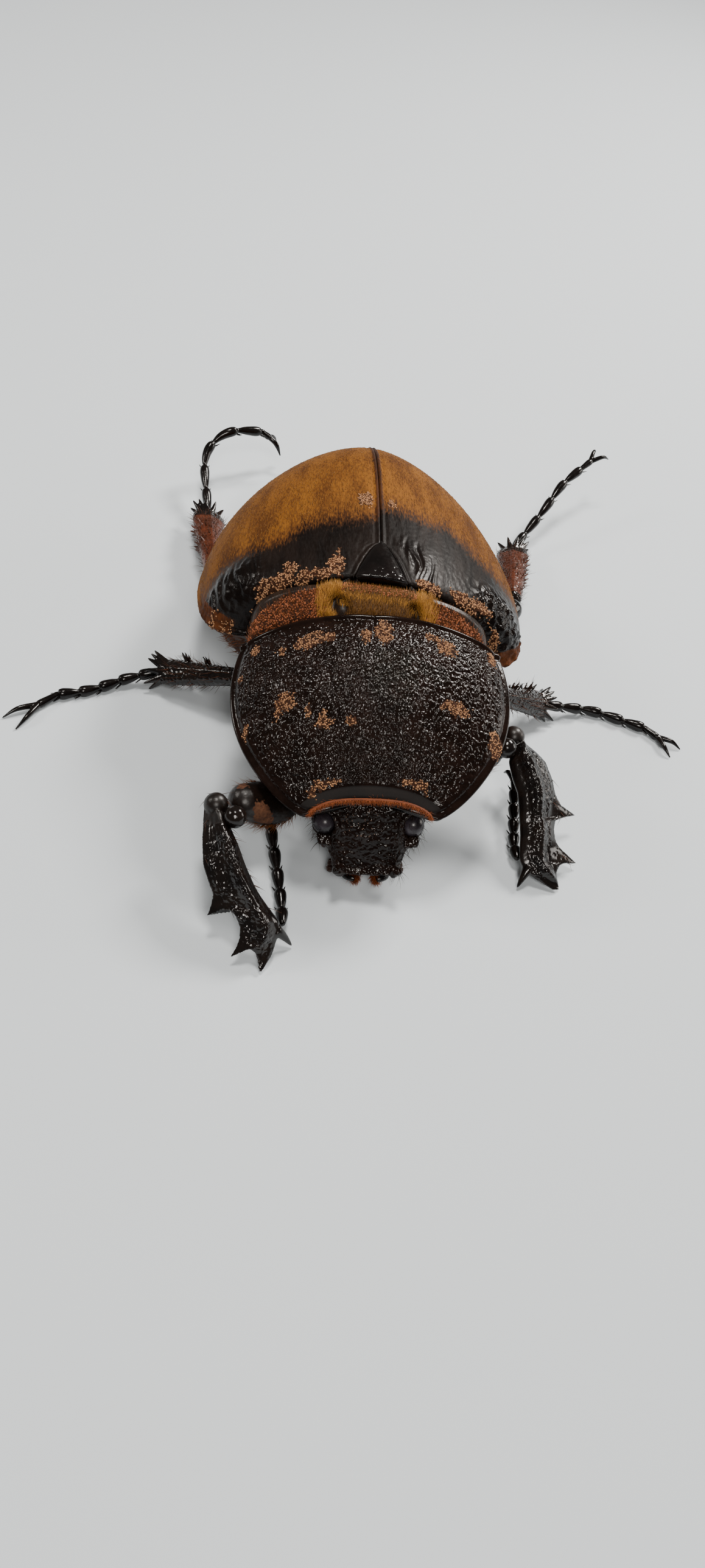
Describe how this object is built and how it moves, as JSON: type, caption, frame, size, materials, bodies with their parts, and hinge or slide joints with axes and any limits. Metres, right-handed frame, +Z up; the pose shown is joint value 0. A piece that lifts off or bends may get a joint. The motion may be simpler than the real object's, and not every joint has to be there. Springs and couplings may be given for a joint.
{
  "type": "elephant beetle",
  "caption": "Hornless female elephant beetle, life size, crouched with its six legs spread, domed wing cases closed and hind feet lifted",
  "frame": {"origin": "Middle of the box round the whole beetle, on the floor", "axes": "The beetle faces -Y, so +Y runs from its head to its tail; +X is the beetle's left side; +Z is up"},
  "size_m": [0.0948, 0.1065, 0.0261],
  "materials": {
    "black_shell": "black grained cuticle with a wet gloss",
    "wing_case": "golden ochre velvet at the rear, glossy black at the base",
    "underside": "dark brown cuticle with sparse hair",
    "hair": "dense golden orange setae",
    "leg": "polished black cuticle with pits",
    "eye": "glossy dark compound eye",
    "mouth": "dark red brown mouthparts and feelers"
  },
  "bodies": {
    "root": {"head": "black_shell", "pronotum": "black_shell", "scutellum": "black_shell", "prothorax": "underside", "metathorax": "underside", "abdomen": "underside", "mesothorax": "hair", "pygidium": "hair", "elytron_left": "wing_case", "eye_left": "eye", "antenna_left": "mouth", "mandible_left": "mouth", "palp_left": "mouth", "elytron_right": "wing_case", "eye_right": "eye", "antenna_right": "mouth", "mandible_right": "mouth", "palp_right": "mouth", "coxa_fore_left": "leg", "femur_fore_left": "leg", "tibia_fore_left": "leg", "tarsus_fore_left": "leg", "claws_fore_left": "leg", "coxa_fore_right": "leg", "femur_fore_right": "leg", "tibia_fore_right": "leg", "tarsus_fore_right": "leg", "claws_fore_right": "leg", "coxa_mid_left": "leg", "femur_mid_left": "leg", "tibia_mid_left": "leg", "tarsus_mid_left": "leg", "claws_mid_left": "leg", "coxa_mid_right": "leg", "femur_mid_right": "leg", "tibia_mid_right": "leg", "tarsus_mid_right": "leg", "claws_mid_right": "leg", "coxa_hind_left": "leg", "femur_hind_left": "leg", "tibia_hind_left": "leg", "tarsus_hind_left": "leg", "claws_hind_left": "leg", "coxa_hind_right": "leg", "femur_hind_right": "leg", "tibia_hind_right": "leg", "tarsus_hind_right": "leg", "claws_hind_right": "leg"}
  },
  "joints": []
}
